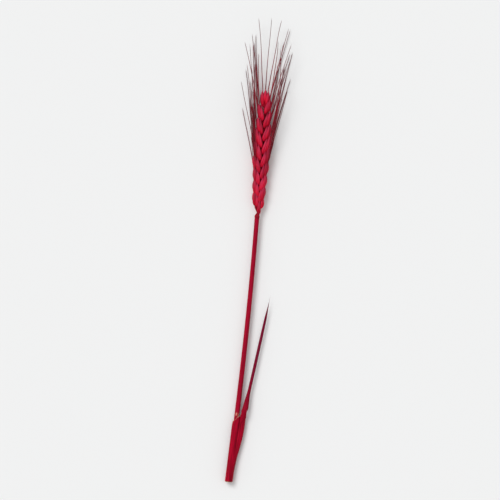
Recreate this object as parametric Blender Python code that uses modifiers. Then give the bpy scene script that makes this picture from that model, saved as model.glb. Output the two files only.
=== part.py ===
"""A dried, dyed ear of bearded wheat, lying on its broad side with its straw and the leaf round the straw.

Metres, +Z up. The ear points along +Y, its two rows of spikelets lie at -X and +X, and it rests on z = 0.
Every piece is worked out beside a straight stem: x sideways, y along the stem from its cut end, z up from the
stem's middle line. The function lay then puts it where the gently bowed stem lies.
"""

import math

import bmesh
import bpy
import numpy as np

# The whole stem, along y from its cut end.
STRAW_LENGTH = 0.1450
EAR_LENGTH = 0.0700
STEM_LENGTH = STRAW_LENGTH + EAR_LENGTH
BOW = 0.0022  # how far the stem's middle stands off to +X
CUT_HEIGHT = 0.00222  # the middle line above the surface, at the cut end
EAR_HEIGHT = 0.00328  # and from the ear's foot on
MIDDLE = (-0.0003, 0.1269)  # the point of the straight stem's plan that the origin is under
GAP = 0.0003  # between two pieces

# Straw.
STRAW_RADIUS = 0.00138
NECK_RADIUS = 0.00122  # just under the ear
STRAW_HOLLOW = (0.00078, 0.020)  # radius and depth of the hollow at the cut end
STRAW_STEPS = 12

# Rachis, the zigzag stem inside the ear.
RACHIS_RADIUS = 0.00085
RACHIS_SWAY = 0.00055
INTERNODE = 0.0034
FIRST_NODE = 0.0024
SPIKELETS = 17  # on the two sides together, below the one at the top
CROWDING, CROWDING_POWER = 0.25, 1.6  # how much nearer to each other the lowest nodes are
STERILE = 1  # the lowest one, which carries no awn

# Spikelets: where the scales start and how large they are in a full-grown one.
SPIKELET_OUT = 0.0007
LEAN_LOW, LEAN_MIDDLE, LEAN_TOP = 3, 11.5, 8.5  # degrees
SIZE_LOW, SIZE_TOP = 0.80, 0.78  # against a full-grown spikelet
GROWN_AT, TAPER_AT = 0.60, 0.55  # the shares of the ear's height between which the spikelets are full-grown
LEAN_SPREAD, SIZE_SPREAD = 1.5, 0.04  # how unlike the spikelets are, in degrees and as a share
FAN_LOW, FAN_FROM = 0.4, 0.25  # how far the lowest spikelet is fanned out, and the height where it is full
GLUME = {"length": 0.0094, "width": 0.0024, "depth": 0.0014, "up": 0.0001, "out": 0.0018, "aside": -0.0003,
         "spread": 9, "face": 12}
LEMMA = {"length": 0.0112, "width": 0.0032, "depth": 0.0025, "up": 0.0012, "out": 0.0010, "aside": 0.0009,
         "spread": 6, "face": 36}
MIDDLE_LEMMA = {"length": 0.0098, "width": 0.0030, "depth": 0.0034, "up": 0.0030, "out": 0.0, "aside": 0.0008,
                "spread": 0, "face": 90}
FOOT = {"length": 0.0062, "width": 0.0042, "depth": 0.0024, "up": -0.0009, "out": 0.0, "aside": 0.0,
        "spread": 0, "face": 90}
SCALE_BULGE = 0.05  # of its length, outwards at the middle
SCALE_BASE, SCALE_POINT = 0.45, 1.05  # how the outline narrows to its root and to its tip
FLAT_BACK = 0.6  # the inner half's depth, as a share of the outer half's

# Awns.
AWN_RADIUS = 0.00030
AWN_TIP_RADIUS = 0.00013
AWN_LENGTH = 0.052  # on the ear's middle
AWN_SHORTER = (0.010, 0.012)  # by how much at the foot and at the top
AWN_LENGTH_SPREAD = 0.004
AWN_POINTS = 6
AWN_ROOT = 0.86  # where the awn's root sits along its lemma
AWN_CLEAR = 0.00045  # an awn's middle line stays this far above the surface
AWN_KNEE = (0.2, 0.5)  # the share of its length over which it follows its lemma's direction
AWN_SIDEWAYS, AWN_UPWARDS = (3.5, 14.5), (1.5, 9)  # its lean in degrees, on the spikelet's own side and hand
TOP_AWN_SIDEWAYS, TOP_AWN_UPWARDS = (2, 8), (-1, 5)
LAST_AWN = (1, 3)  # the lean of the one on the very top
SEED = 20

# Leaf: a split sheath round the straw's lower end, and the narrow rolled blade.
SHEATH_RADIUS = 0.00190  # to the middle of the wall
SHEATH_LENGTH = 0.0315
MOUTH_LENGTH = 0.0060  # over which the sheath opens
LEAF_WALL = 0.0006
BLADE_LENGTH = 0.0660
BLADE_RADIUS = 0.00066
ROLL_LENGTH = 0.0160  # over which the sheet leaves the straw and rolls up
BLADE_DRIFT = math.radians(6.3)  # away from the straw
SHEATH_TURN, BLADE_TURN = math.radians(162), math.radians(98)  # half the angle that each wraps
MOUTH_TURN = math.radians(58)
BLADE_AWAY = 0.0034  # the blade's foot stands this far off the straw's middle
BLADE_FACE = math.radians(78)  # the blade turns its back from +X up to +Z
SHEATH_GAPE, GAPE_FROM = 0.0028, 0.0040  # how far the sheath's blade side comes off the straw, and from where
GAPE_POWER = 2.5  # how narrow the fold is that has come off
BLADE_DROP = 0.0012  # at its tip
LEAF_CUT = 0.0002  # the sheath's cut end

COLOURS = {
    "ear": ((0.42, 0.010, 0.035), 0.62),
    "stalk": ((0.46, 0.006, 0.030), 0.42),
    "leaf": ((0.22, 0.008, 0.022), 0.66),
}


def smooth_step(a, b, t):
    """0 up to a, 1 from b on, and a smooth rise between them."""
    t = np.clip((np.asarray(t, float) - a) / (b - a), 0, 1)
    return t * t * (3 - 2 * t)


def lay(points):
    """Points beside the straight stem, moved to the bowed stem that lies on the surface."""
    points = np.asarray(points, float)
    x, y, z = points.T
    bow = BOW * np.sin(math.pi * y / STEM_LENGTH)
    height = CUT_HEIGHT + (EAR_HEIGHT - CUT_HEIGHT) * np.clip(y / STRAW_LENGTH, 0, 1)
    return np.stack([x + bow - MIDDLE[0], y - MIDDLE[1], z + height], axis=1)


def material(name):
    """A Principled material with the piece's colour and roughness."""
    colour, roughness = COLOURS[name]
    made = bpy.data.materials.new(name)
    made.use_nodes = True
    shader = made.node_tree.nodes["Principled BSDF"]
    shader.inputs["Base Color"].default_value = (*colour, 1)
    shader.inputs["Roughness"].default_value = roughness
    shader.inputs["Metallic"].default_value = 0
    return made


def mesh_object(name, mesh, group):
    """A new object for the mesh, in the group."""
    made = bpy.data.objects.new(name, mesh)
    group.objects.link(made)
    return made


def evaluated_mesh(thing):
    """The thing's mesh with its modifiers or its curve's bevel applied, its caps welded, in world space."""
    graph = bpy.context.evaluated_depsgraph_get()
    mesh = bpy.data.meshes.new_from_object(thing.evaluated_get(graph))
    mesh.transform(thing.matrix_world)
    work = bmesh.new()
    work.from_mesh(mesh)
    bmesh.ops.remove_doubles(work, verts=work.verts, dist=1e-7)
    work.to_mesh(mesh)
    work.free()
    return mesh


def move_points(mesh, rule):
    """Each of the mesh's points put where the rule sends it."""
    points = np.empty(len(mesh.vertices) * 3)
    mesh.vertices.foreach_get("co", points)
    mesh.vertices.foreach_set("co", rule(points.reshape(-1, 3)).ravel())
    mesh.update()


def tube(name, points, radii, group, resolution=0):
    """A closed tube through the points, as a mesh object: a curve with a bevel, then made a mesh."""
    curve = bpy.data.curves.new(name, "CURVE")
    curve.dimensions = "3D"
    curve.bevel_depth = 1
    curve.bevel_resolution = resolution
    curve.use_fill_caps = True
    spline = curve.splines.new("POLY")
    spline.points.add(len(points) - 1)
    for knot, place, radius in zip(spline.points, points, radii):
        knot.co = (*place, 1)
        knot.radius = radius
    made = mesh_object(name, curve, group)
    mesh = evaluated_mesh(made)
    bpy.data.objects.remove(made)
    return mesh_object(name, mesh, group)


def unit(v):
    """The vector at length 1."""
    v = np.asarray(v, float)
    return v / np.linalg.norm(v)


def scale_frame(node, kind, hand, size):
    """Root, axis, outward face and cross direction of one scale of a spikelet.

    The spikelet leans away from the stem by its own angle. The scale sits out to one hand of its fan, is
    spread from its middle by a few degrees, and faces between the fan's edge and the spikelet's outer side.
    """
    axis, outer = node["axis"], node["outer"]
    up = node["fan"] * hand
    spread, face = math.radians(kind["spread"]), math.radians(kind["face"])
    out = kind["out"] * size * node["fanned"]
    root = node["root"] + size * (axis * kind["up"] + up * out + outer * kind["aside"])
    along = unit(axis * math.cos(spread) + up * math.sin(spread))
    facing = up * math.cos(face) + outer * math.sin(face)
    facing = unit(facing - along * (facing @ along))
    return root, along, facing, np.cross(facing, along)


def scale_solid(name, frame, kind, size, group, segments, rings):
    """A boat-shaped scale: a sphere whose latitudes become stations along the scale.

    A station's half width goes as share**SCALE_BASE * (1 - share)**SCALE_POINT. The outer half is a full half
    ellipse, the inner one is shallower, and the middle line bulges outwards.
    """
    root, along, facing, across = frame
    work = bmesh.new()
    bmesh.ops.create_uvsphere(work, u_segments=segments, v_segments=rings, radius=1)
    mesh = bpy.data.meshes.new(name)
    work.to_mesh(mesh)
    work.free()
    widest = SCALE_BASE / (SCALE_BASE + SCALE_POINT)

    def rule(ball):
        share = (ball[:, 2] + 1) / 2
        outline = (share / widest) ** SCALE_BASE * ((1 - share) / (1 - widest)) ** SCALE_POINT
        around = np.arctan2(ball[:, 1], ball[:, 0])
        out = np.cos(around) * np.where(np.cos(around) < 0, FLAT_BACK, 1) * outline * kind["depth"] / 2
        side = np.sin(around) * outline * kind["width"] / 2
        out = out + SCALE_BULGE * kind["length"] * np.sin(math.pi * share)
        points = share[:, None] * along * kind["length"] + out[:, None] * facing + side[:, None] * across
        return lay(root + size * points)

    move_points(mesh, rule)
    return mesh_object(name, mesh, group)


def awn(name, frame, kind, node, lean, bend, group):
    """A long stiff bristle from a lemma's tip: it leaves along the lemma, then bends to its own direction.

    Its middle line is a quadratic curve from the lemma's tip to the free end, drawn towards a knee at the
    share bend of its length and kept above the surface. The lean's two angles, in degrees, turn the free end
    from +Y towards +X and +Z.
    """
    root, along, _, _ = frame
    start = root + along * kind["length"] * node["size"] * AWN_ROOT
    sideways, upwards = np.tan(np.radians(lean))
    end = unit([sideways, 1, upwards])
    knee, free = start + along * node["awn"] * bend, start + end * node["awn"]
    t = np.linspace(0, 1, AWN_POINTS)[:, None]
    line = lay((1 - t) ** 2 * start + 2 * t * (1 - t) * knee + t**2 * free)
    soft = AWN_CLEAR * 2
    low = line[:, 2] < soft
    line[low, 2] = AWN_CLEAR + AWN_CLEAR * np.exp((line[low, 2] - soft) / AWN_CLEAR)
    radii = AWN_RADIUS + (AWN_TIP_RADIUS - AWN_RADIUS) * t[:, 0]
    return tube(name, line, radii, group)


def node_height(i):
    """How far up the stem node number i of the rachis is: the lowest ones are nearer to each other."""
    share = i / SPIKELETS
    return STRAW_LENGTH + FIRST_NODE + INTERNODE * SPIKELETS * (
        share * (1 - CROWDING) + share**CROWDING_POWER * CROWDING
    )


def spikelet_node(i):
    """Where spikelet number i sits on the rachis, which way it leans and how large it is."""
    draw = np.random.default_rng([SEED, i])
    height = i / (SPIKELETS - 1)
    side = -1 if i % 2 else 1
    grown, taper = float(smooth_step(-0.05, GROWN_AT, height)), float(smooth_step(TAPER_AT, 1, height))
    lean = LEAN_LOW + (LEAN_MIDDLE - LEAN_LOW) * grown + (LEAN_TOP - LEAN_MIDDLE) * taper
    lean = math.radians(lean + LEAN_SPREAD * draw.uniform(-1, 1))
    size = SIZE_LOW + (1 - SIZE_LOW) * grown + (SIZE_TOP - 1) * taper
    size *= 1 + SIZE_SPREAD * draw.uniform(-1, 1)
    awn_length = AWN_LENGTH - AWN_SHORTER[0] * (1 - height) - AWN_SHORTER[1] * height**3
    return {
        "side": side,
        "size": size,
        "fanned": FAN_LOW + (1 - FAN_LOW) * float(smooth_step(0, FAN_FROM, height)),
        "draw": draw,
        "awn": awn_length + AWN_LENGTH_SPREAD * draw.uniform(-1, 1),
        "root": np.array([side * SPIKELET_OUT, node_height(i), 0]),
        "axis": np.array([side * math.sin(lean), math.cos(lean), 0]),
        "outer": np.array([side * math.cos(lean), -math.sin(lean), 0]),
        "fan": np.array([0.0, 0, 1]),
    }


def top_node():
    """The spikelet at the top stands straight on, its fan turned across the two rows."""
    node = spikelet_node(SPIKELETS)
    node["axis"], node["outer"], node["fan"] = np.eye(3)[[1, 2, 0]]
    node["root"][0] = 0
    return node


def spikelet(i, node, group):
    """The solids of one spikelet: its foot, two glumes, two outer lemmas with awns and a middle lemma."""
    draw, size, top = node["draw"], node["size"], i == SPIKELETS
    fertile = i >= STERILE
    scale_solid(f"foot_{i}", scale_frame(node, FOOT, 1, size), FOOT, size, group, 5, 4)
    if fertile:
        middle = scale_frame(node, MIDDLE_LEMMA, 1, size)
        scale_solid(f"middle_lemma_{i}", middle, MIDDLE_LEMMA, size, group, 6, 4)
    if top:
        awn("awn_top", middle, MIDDLE_LEMMA, node, LAST_AWN, AWN_KNEE[0], group)
    for hand in (1, -1):
        glume = scale_frame(node, GLUME, hand, size)
        scale_solid(f"glume_{i}_{hand}", glume, GLUME, size, group, 6, 5)
        if fertile:
            lemma = scale_frame(node, LEMMA, hand, size)
            scale_solid(f"lemma_{i}_{hand}", lemma, LEMMA, size, group, 6, 5)
            sideways, upwards = draw.uniform(*AWN_SIDEWAYS), draw.uniform(*AWN_UPWARDS)
            lean = (node["side"] * sideways, hand * upwards)
            if top:
                lean = (hand * draw.uniform(*TOP_AWN_SIDEWAYS), draw.uniform(*TOP_AWN_UPWARDS))
            awn(f"awn_{i}_{hand}", lemma, LEMMA, node, lean, draw.uniform(*AWN_KNEE), group)


def ear(group):
    """The whole head in one solid: the zigzag rachis with every spikelet fused to it."""
    loose = bpy.data.collections.new("ear_pieces")
    bpy.context.scene.collection.children.link(loose)
    heights = [STRAW_LENGTH + GAP, STRAW_LENGTH + FIRST_NODE / 2]
    sway = [0, 0]
    for i in range(SPIKELETS + 1):
        heights.append(node_height(i))
        sway.append(0 if i == SPIKELETS else RACHIS_SWAY * (-1 if i % 2 else 1))
        spikelet(i, top_node() if i == SPIKELETS else spikelet_node(i), loose)
    heights.append(heights[-1] + INTERNODE / 2)
    sway.append(0)
    line = np.stack([sway, heights, np.zeros(len(sway))], axis=1)
    radii = np.linspace(1.2, 0.8, len(sway)) * RACHIS_RADIUS
    head = tube("ear", lay(line), radii, group, resolution=2)

    union = head.modifiers.new("fuse", "BOOLEAN")
    union.operation = "UNION"
    union.operand_type = "COLLECTION"
    union.collection = loose
    union.solver = "EXACT"
    fused = evaluated_mesh(head)
    head.modifiers.clear()
    head.data = fused
    for piece in list(loose.objects):
        bpy.data.objects.remove(piece)
    bpy.data.collections.remove(loose)
    return head


def surface_block(guides):
    """The block that the resting surface takes up, used to cut the underside flat."""
    bpy.ops.mesh.primitive_cube_add(size=0.4, location=(0, 0, -0.2))
    block = bpy.context.object
    block.name = "surface_block"
    for owner in list(block.users_collection):
        owner.objects.unlink(block)
    guides.objects.link(block)
    block.hide_render = True
    block.display_type = "WIRE"
    return block


def cut_flat(thing, block):
    """What would be under the surface is taken off the thing."""
    cut = thing.modifiers.new("flat", "BOOLEAN")
    cut.operation = "DIFFERENCE"
    cut.object = block
    cut.solver = "EXACT"


def straw(group):
    """The round straw: a turned profile with the hollow at its cut end, bent to the stem's bow."""
    radius, depth = STRAW_HOLLOW
    stations = np.linspace(STRAW_LENGTH, 0, 14)
    widths = STRAW_RADIUS + (NECK_RADIUS - STRAW_RADIUS) * smooth_step(0.3, 1, stations / STRAW_LENGTH)
    profile = [(0, STRAW_LENGTH), *zip(widths, stations)]
    profile += [(radius, 0), (radius, depth / 2), (radius, depth - radius), (0, depth)]
    mesh = bpy.data.meshes.new("stalk")
    mesh.from_pydata([(r, 0, h) for r, h in profile], [(k, k + 1) for k in range(len(profile) - 1)], [])
    made = mesh_object("stalk", mesh, group)
    turn = made.modifiers.new("turn", "SCREW")
    turn.steps = turn.render_steps = STRAW_STEPS
    turn.use_merge_vertices = True
    turn.merge_threshold = 1e-5
    made.data = evaluated_mesh(made)
    made.modifiers.clear()
    move_points(made.data, lambda p: lay(np.stack([p[:, 0], p[:, 2], -p[:, 1]], axis=1)))
    return made


def leaf(group):
    """Sheath and blade in one sheet: an arc carried along the straw, which opens at the mouth and moves off.

    Each station's cross-section is an arc. In the sheath its middle is towards +X and it goes nearly all
    round the straw, and towards the mouth its middle comes off the straw in a fold. At the mouth its edges
    draw back. Then it leaves the straw, turns its middle up and rolls up into the blade.
    """
    mouth, opened = SHEATH_LENGTH, SHEATH_LENGTH + MOUTH_LENGTH
    leaving = SHEATH_LENGTH + MOUTH_LENGTH * 0.7
    rolled, tip = leaving + ROLL_LENGTH, opened + BLADE_LENGTH
    stretches = ((LEAF_CUT, mouth, 5), (mouth, opened, 5), (opened, rolled, 7), (rolled, tip, 8))
    y = np.concatenate([[LEAF_CUT], *(np.linspace(a, b, n + 1)[1:] for a, b, n in stretches)])
    along_blade = np.clip((y - leaving) / (tip - leaving), 0, 1)
    open_share, roll = smooth_step(mouth, opened, y), smooth_step(leaving, rolled, y)
    blade_turn = BLADE_TURN * (1 - 0.88 * along_blade**3)
    turn = SHEATH_TURN + (MOUTH_TURN - SHEATH_TURN) * open_share + (blade_turn - MOUTH_TURN) * roll
    radius = SHEATH_RADIUS + (BLADE_RADIUS - SHEATH_RADIUS) * roll
    off = smooth_step(mouth + MOUTH_LENGTH / 2, leaving + ROLL_LENGTH * 0.35, y)
    away = BLADE_AWAY * off + math.tan(BLADE_DRIFT) * np.maximum(0, y - leaving)
    gape = SHEATH_GAPE * smooth_step(GAPE_FROM, mouth, y) * (1 - off)
    drop = -BLADE_DROP * along_blade**1.4
    t = np.linspace(-1, 1, 11)
    wrapped = turn[:, None] * t
    angle = wrapped + BLADE_FACE * off[:, None]
    fold = gape[:, None] * np.clip(np.cos(wrapped), 0, 1) ** GAPE_POWER
    x = away[:, None] + fold + radius[:, None] * np.cos(angle)
    z = drop[:, None] + radius[:, None] * np.sin(angle)
    points = lay(np.stack([x, np.repeat(y[:, None], len(t), 1), z], axis=2).reshape(-1, 3))
    count = len(t)
    faces = [
        (r * count + c, r * count + c + 1, (r + 1) * count + c + 1, (r + 1) * count + c)
        for r in range(len(y) - 1)
        for c in range(count - 1)
    ]
    mesh = bpy.data.meshes.new("leaf")
    mesh.from_pydata(points.tolist(), [], faces)
    made = mesh_object("leaf", mesh, group)
    wall = made.modifiers.new("wall", "SOLIDIFY")
    wall.thickness = LEAF_WALL
    wall.offset = 0
    return made


for old in list(bpy.data.objects):
    bpy.data.objects.remove(old)
wheat = bpy.data.collections.new("wheat_ear")
bpy.context.scene.collection.children.link(wheat)
guides = bpy.data.collections.new("guides")
bpy.context.scene.collection.children.link(guides)

head, stem, blade = ear(wheat), straw(wheat), leaf(wheat)
cut_flat(head, surface_block(guides))
for thing in (head, stem, blade):
    thing.data.materials.clear()
    thing.data.materials.append(material(thing.name))
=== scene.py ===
"""The dressed model of a dried, dyed ear of bearded wheat that lies on its broad side.

Each piece is a stack of closed rings: an array of solids x rings x points of a ring x 3, worked out for
all the like pieces at once. A ring is a profile, such as a straw's circle, a leaf's bent sheet, a scale's
boat section or a bristle's toothed round, carried along the piece's own line. It is worked out beside a
straight stem: x sideways, y along the stem from its cut end, z up from the stem's middle line. lay() then
puts it where the gently bowed stem lies on the table.
"""

import math

import bpy
import numpy as np
from mathutils import Matrix, Vector


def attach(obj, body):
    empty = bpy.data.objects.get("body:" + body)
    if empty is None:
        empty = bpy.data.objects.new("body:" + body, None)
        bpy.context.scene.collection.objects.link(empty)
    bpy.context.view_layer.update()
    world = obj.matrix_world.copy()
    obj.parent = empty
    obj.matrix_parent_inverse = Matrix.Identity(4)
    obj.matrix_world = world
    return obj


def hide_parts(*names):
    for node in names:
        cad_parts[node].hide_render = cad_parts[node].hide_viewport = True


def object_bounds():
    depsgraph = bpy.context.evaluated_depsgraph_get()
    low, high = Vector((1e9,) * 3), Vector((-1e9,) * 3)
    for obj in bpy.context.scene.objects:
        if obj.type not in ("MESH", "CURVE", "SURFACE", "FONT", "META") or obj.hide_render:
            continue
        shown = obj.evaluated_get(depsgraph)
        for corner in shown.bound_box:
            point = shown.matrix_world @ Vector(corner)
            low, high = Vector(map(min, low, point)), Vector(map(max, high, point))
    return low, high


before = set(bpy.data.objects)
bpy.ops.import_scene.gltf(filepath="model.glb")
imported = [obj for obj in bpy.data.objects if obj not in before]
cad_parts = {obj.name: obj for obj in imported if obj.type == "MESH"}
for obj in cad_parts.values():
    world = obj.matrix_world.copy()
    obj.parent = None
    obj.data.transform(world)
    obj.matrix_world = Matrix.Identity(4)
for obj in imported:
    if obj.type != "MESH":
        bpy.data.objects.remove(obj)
cad_low, cad_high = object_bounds()


# Straw.
# The stem's long top internode: a hollow culm of dyed straw, finely ribbed lengthwise and a little fluted
# from drying. It was cut off below with a blade, which left the wall's bare rim and a slightly slanting end.

STRAW_LENGTH = 0.1450
EAR_LENGTH = 0.0700
STEM_LENGTH = STRAW_LENGTH + EAR_LENGTH
BOW = 0.0022  # how far the stem's middle stands off to +X
CUT_HEIGHT = 0.00222  # the middle line above the table, at the cut end
EAR_HEIGHT = 0.00328  # and from the ear's foot on
MIDDLE = (-0.0003, 0.1269)  # the point of the straight stem's plan that the origin is under
STRAW_RADIUS = 0.00138
NECK_RADIUS, NECK_FROM = 0.00122, 0.3  # just under the ear, and the share of the length from which it thins
STRAW_IN_EAR = 0.0002  # how far its end runs on into the ear
STRAW_AROUND, STRAW_STATIONS = 120, 110
STRAW_RIBS, RIB_HEIGHT = 30, 0.000016
OVAL, OVAL_TURNS = 0.018, 40  # how far from round it is, and how fast the oval turns, in radians a metre
FLUTE_DEPTH, FLUTE_WIDTH = 0.00007, 0.45  # a shallow groove, its width in radians
FLUTE_ANGLE, FLUTE_WANDER, FLUTE_WAVE = 1.9, 0.9, 31  # where it is, how far it wanders, and how often
CUT_ZONE = 0.002  # the height up to which the cut end has rings of its own, and its inside is bare
CUT_RINGS = (0.001, 0.0005, 0.0002, 0.00004)  # their heights
CUT_SLANT, SLANT_ANGLE = 0.00010, 1.0  # half the slant's height, and the angle of its short side
CUT_RAG, RAG_WAVES = 0.00005, (9, 23)  # height and waves of the ragged rim
CUT_REACH = 0.0008  # how far up the slant and the rag die out
RIM_ROUND = 0.00003  # the rim's two corners
RIM_BARE = (0.0004, 0.0001)  # the heights between which the dye ends
HOLLOW_RADIUS, HOLLOW_DEPTH = 0.00078, 0.020  # at the cut end
HOLLOW_RINGS = (0.00004, 0.0002, 0.0005, 0.002, 0.008, 0.014)  # heights of the rings below its blunt end
HOLLOW_SHARES = (1, 1, 1, 1, 0.98, 0.96, 0.9, 0.3)  # of its radius, from ring to ring
SCAR_PLACE, SCAR_SIZE = (0.0372, 1.85), (0.0010, 0.42)  # an undyed spot: height and angle, half size


def smooth_step(a, b, t):
    """0 up to a, 1 from b on, and a smooth rise between them."""
    t = np.clip((np.asarray(t, float) - a) / (b - a), 0, 1)
    return t * t * (3 - 2 * t)


def lay(points):
    """Points beside the straight stem, moved to the bowed stem that lies on the table.

    The middle line stands off to +X by a half sine wave over the stem's length, and rises evenly from the
    cut end to the ear's foot.
    """
    x, y, z = np.moveaxis(np.asarray(points, float), -1, 0)
    bow = BOW * np.sin(math.pi * y / STEM_LENGTH)
    height = CUT_HEIGHT + (EAR_HEIGHT - CUT_HEIGHT) * np.clip(y / STRAW_LENGTH, 0, 1)
    return np.stack([x + bow - MIDDLE[0], y - MIDDLE[1], z + height], axis=-1)


def turned(width, angle, y, x0=0.0, z0=0.0):
    """Rings round the stem: at a height y and an angle from +X towards +Z, that far out from (x0, z0)."""
    return np.stack(np.broadcast_arrays(x0 + width * np.cos(angle), y, z0 + width * np.sin(angle)), axis=-1)


def loft(name, rings, tone=0.5, bare=0.0, along=None, sheet=False):
    """A mesh object of closed solids from rings[solid, ring, point of the ring, xyz].

    Each ring is joined to the next. The first and the last are closed to a point in their middle, or in a
    sheet, whose ring runs up one face and back down the other, from face to face. A solid whose faces turn
    out to point inwards, so that the volume summed over them is below zero, is turned round. The UV map
    holds the share round the ring and the share along the solid, which is even from ring to ring unless it
    is given. The attributes tone, one value for each solid, and bare, where no dye took, are for the
    materials.
    """
    rings = np.asarray(rings, float)
    solids, stations, around = rings.shape[:3]
    grid = np.arange(solids * stations * around).reshape(solids, stations, around)
    ends = np.zeros((solids, 0, 3)) if sheet else rings[:, [0, -1]].mean(axis=2)
    points = np.concatenate([rings.reshape(-1, 3), ends.reshape(-1, 3)])

    m, n = np.arange(around), np.linspace(0, 1, stations) if along is None else along
    here, there = grid[:, :-1], grid[:, 1:]
    quads = np.stack([here, np.roll(here, -1, 2), np.roll(there, -1, 2), there], axis=-1)
    quad_u = np.broadcast_to(np.stack([m, m + 1, m + 1, m], axis=-1), quads.shape) / around
    quad_v = np.stack([n[:-1], n[:-1], n[1:], n[1:]], axis=-1)[:, None]
    quad_uv = np.stack([quad_u, np.broadcast_to(quad_v, quads.shape)], axis=-1)
    first, last = grid[:, 0], grid[:, -1]
    if sheet:
        k = m[:around // 2 - 1]
        strip = np.stack([k + 1, k, around - 1 - k, around - 2 - k], axis=-1)
        caps, cap_u = np.stack([first[:, strip], last[:, strip[:, ::-1]]], axis=1), [strip, strip[:, ::-1]]
    else:
        low = np.broadcast_to(grid.size + np.arange(solids)[:, None] * 2, first.shape)
        caps = [[np.roll(first, -1, 1), first, low], [last, np.roll(last, -1, 1), low + 1]]
        caps = np.stack([np.stack(cap, axis=-1) for cap in caps], axis=1)
        cap_u = [np.stack(turn, axis=-1) for turn in ([m + 1, m, m + 0.5], [m, m + 1, m + 0.5])]
    cap_u = np.array(cap_u) / around
    cap_v = np.broadcast_to(np.array([n[0], n[-1]])[:, None, None], cap_u.shape)
    cap_uv = np.broadcast_to(np.stack([cap_u, cap_v], axis=-1), (*caps.shape, 2))

    def volume(faces):
        fans = (points[faces[..., [0, k, k + 1]]] for k in range(1, faces.shape[-1] - 1))
        return sum(np.linalg.det(fan).reshape(solids, -1).sum(axis=1) for fan in fans)

    inside_out = volume(quads) + volume(caps) < 0
    quads, quad_uv, caps, cap_uv = (np.array(part) for part in (quads, quad_uv, caps, cap_uv))
    quads[inside_out], caps[inside_out] = quads[inside_out][..., ::-1], caps[inside_out][..., ::-1]
    quad_uv[inside_out] = quad_uv[inside_out][..., ::-1, :]
    cap_uv[inside_out] = cap_uv[inside_out][..., ::-1, :]

    corners = np.concatenate([quads.ravel(), caps.ravel()])
    cap_starts = np.arange(quads.size, corners.size, caps.shape[-1])
    starts = np.concatenate([np.arange(0, quads.size, 4), cap_starts])
    mesh = bpy.data.meshes.new(name)
    mesh.vertices.add(len(points))
    mesh.vertices.foreach_set("co", points.ravel())
    mesh.loops.add(len(corners))
    mesh.loops.foreach_set("vertex_index", corners)
    mesh.polygons.add(len(starts))
    mesh.polygons.foreach_set("loop_start", starts)
    mesh.update(calc_edges=True)
    mesh.shade_smooth()
    uv = mesh.uv_layers.new(name="round_and_along")
    uv.uv.foreach_set("vector", np.concatenate([quad_uv.ravel(), cap_uv.ravel()]))
    for label, value in (("tone", tone), ("bare", bare)):
        value = np.asarray(value, float)
        value = np.broadcast_to(value.reshape(value.shape + (1,) * (3 - value.ndim)), rings.shape[:3])
        at_ends = value[:, [0, -1]].mean(axis=2)[:, :ends.shape[1]]
        layer = mesh.attributes.new(label, "FLOAT", "POINT")
        layer.data.foreach_set("value", np.concatenate([value.ravel(), at_ends.ravel()]))
    made = bpy.data.objects.new(name, mesh)
    bpy.context.scene.collection.objects.link(made)
    return made


def put(tree, kind, feeds=None, **settings):
    """A node in the tree, with its settings made and its sockets fed by values or by nodes' sockets."""
    made = tree.nodes.new(kind)
    for key, value in settings.items():
        setattr(made, key, value)
    for socket, value in (feeds or {}).items():
        if isinstance(value, bpy.types.NodeSocket):
            tree.links.new(value, made.inputs[socket])
        else:
            made.inputs[socket].default_value = value
    return made


STREAKS = {"Scale": 1.0, "Detail": 3.0, "Roughness": 0.65}
CLOUDS = {"Scale": 1.0, "Detail": 2.0, "Roughness": 0.5}
STREAK_RANGE, CLOUD_RANGE = (0.32, 0.62), (0.30, 0.72)  # the stretch of each noise that goes from 0 to 1
CLOUD_SCALE = (0.22, 0.22, 0.9)  # how often the uneven dye changes against the streaks, across and along
TONE_APART = 37.0  # how far apart the lightest and the darkest solid lie in the noise
END_FRAY, SPOT_FRAY = 0.22, 0.3  # how far a dull end and a bare spot run on along single fibres
TONE_SHADE, DYE_SHADE, LEAST_SHADE = 0.48, 0.42, 0.55  # lightness by a solid's tone, by its dye, at least
SPOT_RANGE = (0.35, 0.65)  # the stretch of the bare attribute in which the dye ends
BARE_FURROW_SHADE, BARE_SHADE_DEPTH = (0.30, 0.12, 0.05, 1), 0.8  # the painted shade in the furrows where no dye took, and how far it darkens them
ROUGH = 0.40
DULL_ROUGH, FAINT_ROUGH, FURROW_ROUGH = 0.14, 0.16, 0.12  # what a dull end, faint dye and a furrow add to it


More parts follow.
